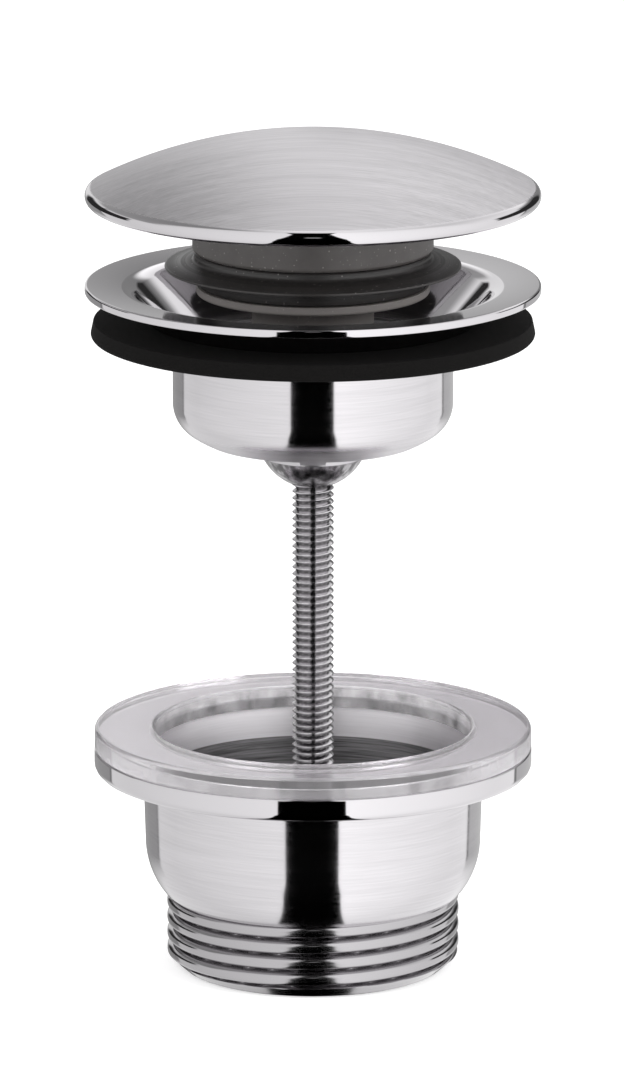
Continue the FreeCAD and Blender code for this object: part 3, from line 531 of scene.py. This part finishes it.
def waste_cup(material):
    foot, top, rim = levels("waste_cup")
    floor = top - CUP_DEPTH
    knuckle_x = CUP_RADIUS - CUP_KNUCKLE
    knuckle_z = floor + CUP_ROUND - leg(CUP_ROUND - CUP_KNUCKLE, knuckle_x - CUP_FLAT)
    floor_centre = (CUP_FLAT, floor + CUP_ROUND)
    touch = math.degrees(math.atan2(knuckle_z - floor_centre[1], knuckle_x - CUP_FLAT))
    gentle, steep = math.radians(FLANGE_SLOPE), math.radians(CONE_SLOPE)
    land_x = rim - FLANGE_LAND - RIM_ROLL * math.sin(gentle)
    land_z = top - (rim - RIM_BEVEL - land_x) * math.tan(gentle)
    roll = (rim - FLANGE_LAND, land_z - RIM_ROLL * math.cos(gentle))
    under = arc(roll, RIM_ROLL - FLANGE_WALL, 90.0 + CONE_SLOPE, 90.0 + FLANGE_SLOPE, 12)
    over = arc(roll, RIM_ROLL, 90.0 + FLANGE_SLOPE, 90.0 + CONE_SLOPE, 16)
    rim_foot = under[-1][1] + (rim - under[-1][0]) * math.tan(gentle)
    bore = CUP_RADIUS - CUP_WALL
    outline = [(HUB_HOLE, foot), (HUB_RADIUS, foot), (HUB_RADIUS, floor), (CUP_FLAT, floor)]
    outline += arc(floor_centre, CUP_ROUND, -90.0, touch, 20)[1:]
    outline += arc((knuckle_x, knuckle_z), CUP_KNUCKLE, touch, 0.0, 16)[1:]
    outline += [(CUP_RADIUS, under[0][1] - (under[0][0] - CUP_RADIUS) * math.tan(steep))] + under
    outline += arc((rim - RIM_BEVEL, rim_foot + RIM_BEVEL), RIM_BEVEL, -90.0, 0.0, 6)
    outline += arc((rim - RIM_BEVEL, top - RIM_BEVEL), RIM_BEVEL, 0.0, 90.0, 6)
    outline += over + [(bore, over[-1][1] - (over[-1][0] - bore) * math.tan(steep))]
    outline += arc((knuckle_x, knuckle_z), CUP_KNUCKLE - CUP_WALL, 0.0, touch, 12)
    outline += arc(floor_centre, CUP_ROUND - CUP_WALL, touch, -90.0, 16)[1:]
    hub_top = foot + HUB_HEIGHT
    outline += [(HUB_RADIUS, floor + CUP_WALL), (HUB_RADIUS, hub_top), (HUB_HOLE, hub_top)]
    cup = lathe("dished_cup", outline, material, "waste")
    half = DRAIN_BAR / 2
    ends = [math.degrees(math.asin(half / r)) for r in (DRAIN_INNER, DRAIN_OUTER)]
    window = arc((0.0, 0.0), DRAIN_INNER, 90.0 - ends[0], ends[0], 10)
    window += arc((0.0, 0.0), DRAIN_OUTER, ends[1], 90.0 - ends[1], 14)
    windows = [turned_outline(window, 90.0 * number) for number in range(4)]
    cut(cup, [prism("window", outline, floor - 1.0, knuckle_z) for outline in windows])
    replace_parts(even_normals(cup), "waste_cup")


def tail_body(material, thread_material):
    foot, top, rim = levels("tail_body")
    centre_x = SHELL_RADIUS - SHOULDER_ROUND
    centre = (centre_x, OUTLET_LENGTH + leg(SHOULDER_ROUND, OUTLET_RADIUS - centre_x))
    turn_x = SHELL_RADIUS - SHOULDER_TURN
    turn = (turn_x, OUTLET_LENGTH + leg(SHOULDER_TURN, OUTLET_RADIUS - turn_x))
    end = math.degrees(math.acos((OUTLET_RADIUS - turn_x) / SHOULDER_TURN))
    inner_round = SHOULDER_ROUND - SHELL_WALL
    inner_start = -math.degrees(math.acos((OUTLET_BORE - centre_x) / inner_round))
    flange_foot, shell_top = top - TAIL_FLANGE, SHELL_RADIUS + SHELL_DRAFT
    mouth = shell_top - SHELL_WALL
    outline = [(OUTLET_BORE, foot), (THREAD_ROOT - ROOT_CHAMFER, foot),
               (THREAD_ROOT, foot + ROOT_CHAMFER), (THREAD_ROOT, OUTLET_LENGTH)]
    outline += arc(turn, SHOULDER_TURN, -end, 0.0, 24)
    outline += rounded([(shell_top, flange_foot, 0.5), (rim, flange_foot, TAIL_FLANGE_ROUND),
                        (rim, top, 0.15), (mouth + MOUTH_CHAMFER, top), (mouth, flange_foot),
                        (SHELL_RADIUS - SHELL_WALL, centre[1])])
    outline += arc(centre, inner_round, 0.0, inner_start, 14)
    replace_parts(even_normals(lathe("tail_shell", outline, material, "tail")), "tail_body")

    def thread(angle, z):
        phase = (z / OUTLET_PITCH - angle / (2 * math.pi)) % 1.0
        fall = abs(2.0 * phase - 1.0) ** CREST_WIDTH
        lead_in = OUTLET_RADIUS - OUTLET_CHAMFER + z * OUTLET_CHAMFER / OUTLET_CHAMFER_HEIGHT
        return min(OUTLET_RADIUS - (OUTLET_RADIUS - THREAD_ROOT) * fall, lead_in)

    threaded_tube("outlet_thread", thread, OUTLET_BORE + THREAD_LINING, foot + THREAD_INSET,
                  OUTLET_LENGTH - THREAD_GAP, OUTLET_ROWS, OUTLET_AROUND, thread_material, "tail")
    half, root = ARM_WIDTH / 2, HUB_SIZE - ARM_INSET
    reach = (OUTLET_BORE + OUTLET_RADIUS) / 2
    for number in range(4):
        outline = [(root, -half), (reach, -half), (reach, half), (root, half)]
        name = f"spider_arm_{number + 1}"
        mesh = prism(name, turned_outline(outline, 90.0 * number), ARM_LEVEL, ARM_LEVEL + ARM_HEIGHT)
        arm = finish_mesh(name, mesh, material, "tail")
        bevel = arm.modifiers.new("soft_edges", "BEVEL")
        bevel.width, bevel.segments = ARM_EDGE * MM, ARM_EDGE_STEPS
    hub_top = HUB_LEVEL + TAIL_HUB
    hub = rounded([(SCREW_HOLE, HUB_LEVEL, 0.3), (HUB_SIZE, HUB_LEVEL, 0.6), (HUB_SIZE, hub_top, 0.6),
                   (SCREW_HOLE, hub_top, 0.3)])
    lathe("spider_hub", hub, material, "tail")


def centre_screw(material):
    foot, top, crest = levels("centre_screw")

    def thread(angle, z):
        phase = (z / SCREW_PITCH - angle / (2 * math.pi)) % 1.0
        rise = min(max((0.5 - abs(phase - 0.5)) / SCREW_FLANK - SCREW_ROOT_FLAT, 0.0), 1.0)
        ends = min(z - foot, top - z)
        return min(crest - SCREW_DEPTH + SCREW_DEPTH * rise, crest - SCREW_CHAMFER + ends)

    rows = int((top - foot) * SCREW_ROWS_PER_MM)
    screw = threaded_tube("threaded_screw", thread, SCREW_CORE, foot, top, rows, SCREW_AROUND,
                          material, "screw")
    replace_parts(screw, "centre_screw")


def dome_nut(material):
    foot, top, radius = levels("dome_nut")
    centre = (0.0, top + leg(NUT_SPHERE, radius))
    start = -math.degrees(math.acos(leg(NUT_SPHERE, centre[1] - foot) / NUT_SPHERE))
    end = -math.degrees(math.acos(radius / NUT_SPHERE))
    outline = [(SCREW_HOLE, foot)] + arc(centre, NUT_SPHERE, start, end, 20) + [(SCREW_HOLE, top)]
    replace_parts(even_normals(lathe("dome_nut_turned", outline, material, "screw")), "dome_nut")


def clear_washer(material):
    """A hair above the flange, so that light passes between the two faces."""
    foot, top, outer = levels("clear_washer")
    foot += WASHER_LIFT
    outline = rounded([(WASHER_INNER, foot, 0.15), (outer, foot, 0.3), (outer, top, WASHER_ROUND),
                       (WASHER_INNER, top, WASHER_ROUND)])
    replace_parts(even_normals(lathe("frosted_washer", outline, material, "tail")), "clear_washer")


def flange_gasket(material):
    foot, top, outer = levels("flange_gasket")
    bevel = GASKET_SEAT * math.tan(math.radians(CONE_SLOPE))
    outline = rounded([(GASKET_INNER, foot), (outer, foot, 0.5), (outer - GASKET_TAPER, top, 0.12),
                       (GASKET_INNER + GASKET_SEAT, top), (GASKET_INNER, top - bevel)])
    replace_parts(even_normals(lathe("foam_gasket", outline, material, "waste")), "flange_gasket")


def seal_carrier(material):
    foot, top, drum = levels("seal_carrier")
    outline = rounded([(CARRIER_HOLLOW, foot), (FOOT_RADIUS, foot, 0.4),
                       (FOOT_RADIUS, foot + FOOT_HEIGHT, 0.15), (GROOVE_RADIUS, foot + FOOT_HEIGHT),
                       (GROOVE_RADIUS, top - DRUM_HEIGHT),
                       (drum, top - DRUM_HEIGHT, 0.6), (drum, top, 0.3), (STUD_HOLE, top),
                       (STUD_HOLE, top - PLATE), (CARRIER_HOLLOW, top - PLATE)])
    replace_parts(even_normals(lathe("moulded_carrier", outline, material, "plug")), "seal_carrier")


def lip_seal(material):
    foot, top, lip = levels("lip_seal")
    root = levels("seal_carrier")[0] + FOOT_HEIGHT + LIP_LEVEL
    edge = root - LIP_DROOP
    bore = GROOVE_RADIUS + SEAL_GAP
    outline = rounded([(bore, foot), (SEAL_RADIUS, foot, 0.3), (SEAL_RADIUS, root - LIP_HALF_ROOT, 0.5),
                       (lip, edge - LIP_HALF_EDGE, 0.12), (lip, edge + LIP_HALF_EDGE, 0.16),
                       (SEAL_COLLAR, root + LIP_HALF_ROOT, 0.7), (SEAL_COLLAR, top, 0.35), (bore, top)])
    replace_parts(even_normals(lathe("rubber_lip_seal", outline, material, "plug")), "lip_seal")


def latch_spring(material):
    """A helix of round wire."""
    foot, top, _ = levels("latch_spring")
    steps, sides, wire = SPRING_STEPS, SPRING_SIDES, SPRING_WIRE / 2
    whole_turn = 2 * math.pi
    rise = top - foot - SPRING_WIRE
    climb = rise / (whole_turn * SPRING_TURNS * SPRING_RADIUS)
    points, faces = [], []
    for step in range(steps + 1):
        angle = whole_turn * SPRING_TURNS * step / steps
        outward = Vector((math.cos(angle), math.sin(angle), 0.0))
        along = Vector((-math.sin(angle), math.cos(angle), climb)).normalized()
        middle = outward * SPRING_RADIUS + Vector((0.0, 0.0, foot + wire + rise * step / steps))
        upward = outward.cross(along)
        for side in range(sides):
            turn = whole_turn * side / sides
            points.append((middle + (outward * math.cos(turn) + upward * math.sin(turn)) * wire) * MM)
    for step in range(steps):
        for side in range(sides):
            here, after = step * sides + side, step * sides + (side + 1) % sides
            faces.append((here, after, after + sides, here + sides))
    faces += [tuple(range(sides)), tuple(range(steps * sides, (steps + 1) * sides))]
    mesh = bpy.data.meshes.new("coil_spring")
    mesh.from_pydata(points, [], faces)
    spring = finish_mesh("coil_spring", mesh, material, "screw", WIRE_SHARP)
    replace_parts(spring, "latch_spring")
    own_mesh(spring)


def camera():
    data = bpy.data.cameras.new("camera")
    data.lens, data.sensor_fit = LENS_MM, "VERTICAL"
    data.sensor_height = data.sensor_width = SENSOR_MM
    data.clip_start, data.clip_end = 0.05, 20.0
    thing = bpy.data.objects.new("camera", data)
    thing.location = (-AXIS_OFFSET, -CAMERA_DISTANCE * math.cos(CAMERA_PITCH),
                      AIM_HEIGHT + CAMERA_DISTANCE * math.sin(CAMERA_PITCH))
    thing.rotation_euler = (math.pi / 2 - CAMERA_PITCH, 0.0, 0.0)
    bpy.context.collection.objects.link(thing)
    bpy.context.scene.camera = thing


def world():
    """White for the eye, plain light for matt things, and for mirrors soft boxes and a dark gap."""
    w = bpy.data.worlds.new("studio")
    bpy.context.scene.world = w
    w.use_nodes = True
    p = Nodes(w.node_tree, "Generated")
    x, y, z = p.split()
    back = p.math("MULTIPLY", y, -1.0)
    azimuth = p.math("DEGREES", p.math("ARCTAN2", x, back))
    dip = p.math("DEGREES", p.math("ARCTAN2", p.math("MULTIPLY", z, -1.0), back))
    aside = p.math("ABSOLUTE", azimuth)
    left_box = p.ramp(azimuth, -110.0, -20.0, 0.88, 1.12)
    boxes = p.blend(p.ramp(azimuth, -5.0, 5.0), left_box, p.ramp(azimuth, 20.0, 110.0, 1.42, 1.08))
    low_wall, high_wall = p.ramp(x, -0.1, 0.1, 0.36, 0.58), p.ramp(x, -0.03, 0.015, 0.9, 0.25)
    wall = p.blend(p.ramp(z, -0.13, -0.03), low_wall, high_wall)
    behind = p.math("MULTIPLY", p.ramp(aside, 135.5, 137.0), p.ramp(z, -0.45, -0.3))
    level = p.blend(behind, boxes, wall)
    seam = p.band(aside, (132.5, 134.0), (137.0, 136.0))
    level = p.blend(p.math("MULTIPLY", seam, p.ramp(z, -0.35, -0.3)), level, 0.25)
    side_gap = p.math("MULTIPLY", p.band(aside, (104.0, 108.0), (162.0, 158.0)),
                      p.band(z, (-0.12, -0.08), (0.3, 0.24)))
    level = p.blend(side_gap, level, 0.03)
    across = p.math("MINIMUM", p.ramp(x, -0.32, -0.05, 0.26, 1.0), p.ramp(x, 0.1, 0.5, 1.0, 0.72))
    overhead = p.math("MULTIPLY", p.ramp(z, 0.45, 0.8, 1.5, 1.2), across)
    above = p.math("MULTIPLY", p.ramp(z, 0.3, 0.42, smooth=True), p.ramp(y, -0.1, 0.1))
    level = p.blend(above, level, overhead)
    upper, lower = p.ramp(dip, -60.0, 10.0, 0.12, 0.29), p.ramp(dip, 40.0, 150.0, 0.29, 0.1)
    half_width = p.math("MINIMUM", upper, lower)
    lateral = p.math("SUBTRACT", p.math("ABSOLUTE", p.math("ADD", x, 0.01)), half_width)
    gap = p.math("MULTIPLY", p.ramp(lateral, 0.01, 0.0, smooth=True), p.ramp(dip, -88.0, -80.0))
    gleam = p.math("MULTIPLY", p.band(z, (0.16, 0.22), (0.40, 0.34)),
                   p.ramp(p.math("ABSOLUTE", x), 0.08, 0.05))
    level = p.blend(gap, level, p.math("MULTIPLY", gleam, 0.4))
    path = p.nodes.new("ShaderNodeLightPath")
    seen = p.blend(path.outputs["Is Glossy Ray"], 0.75, level)
    seen = p.blend(path.outputs["Is Camera Ray"], seen, 1.0)
    seen = p.blend(path.outputs["Is Transmission Ray"], seen, 1.0)
    background = p.nodes["Background"]
    p.links.new(seen, background.inputs["Strength"])
    background.inputs["Color"].default_value = (1.0, 1.0, 1.0, 1.0)


def soft_light(name, place, size, power):
    data = bpy.data.lights.new(name, "AREA")
    data.size, data.energy = size, power
    thing = bpy.data.objects.new(name, data)
    thing.location = place
    aim = Vector((0, 0, AIM_HEIGHT)) - Vector(place)
    thing.rotation_euler = aim.to_track_quat("-Z", "Y").to_euler()
    thing.visible_glossy = False
    bpy.context.collection.objects.link(thing)


def floor():
    mesh = bpy.data.meshes.new("floor")
    reach = FLOOR_REACH
    corners = [(-reach, -reach, 0), (reach, -reach, 0), (reach, reach, 0), (-reach, reach, 0)]
    mesh.from_pydata(corners, [], [(0, 1, 2, 3)])
    thing = bpy.data.objects.new("floor", mesh)
    thing.location.z = -FLOOR_DROP
    bpy.context.collection.objects.link(thing)
    p = Paint("white_floor").set(Roughness=1.0, Specular_IOR_Level=0.0, Base_Color=(0.9, 0.9, 0.9, 1.0))
    p.set(Emission_Color=(1.0, 1.0, 1.0, 1.0))
    path = p.nodes.new("ShaderNodeLightPath").outputs["Is Camera Ray"]
    p.link(p.math("MULTIPLY", path, 0.35), "Emission Strength")
    mesh.materials.append(p.material)
    thing.visible_glossy = False


def main():
    scene = bpy.context.scene
    scene.view_settings.view_transform = "Standard"
    camera()
    world()
    soft_light("left_box", (-0.9, -0.7, 0.9), 0.9, 9.0)
    soft_light("right_box", (1.0, -0.6, 0.8), 0.9, 11.0)
    floor()
    plug_cap(brushed_cap())
    tail_metal = turned_nickel("turned_nickel_tail", TAIL_BORE, TAIL_WAIST, TAIL_BORE_TOP, TAIL_POLISH,
                               TAIL_DULL)
    cup_metal = turned_nickel("turned_nickel_cup", CUP_BORE, CUP_WAIST, CUP_BORE_TOP, CUP_POLISH, CUP_DULL)
    tail_body(tail_metal, thread_metal())
    waste_cup(cup_metal)
    clear_washer(clear_silicone((levels("clear_washer")[0] + WASHER_SHADE_HEIGHT) * MM))
    flange_gasket(foam_rubber())
    lip_seal(rubber("seal_rubber", 0.03, 0.38, 0.03 * MM))
    latch_grey = moulded("grey_plastic", 0.12, 0.42, (levels("seal_carrier")[0] + FOOT_HEIGHT) * MM)
    seal_carrier(latch_grey)
    dome_nut(nut_metal())
    centre_screw(steel("screw_steel", 0.66, 0.14, SCREW_ROOT * MM))
    spring_steel = steel("spring_steel", 0.55, 0.25)
    latch_spring(spring_steel)
    for node in ("thrust_washer", "latch_base", "cap_stud"):
        dress(node, spring_steel)
    for node in ("latch_sleeve", "plunger", "rotor"):
        dress(node, latch_grey)


main()
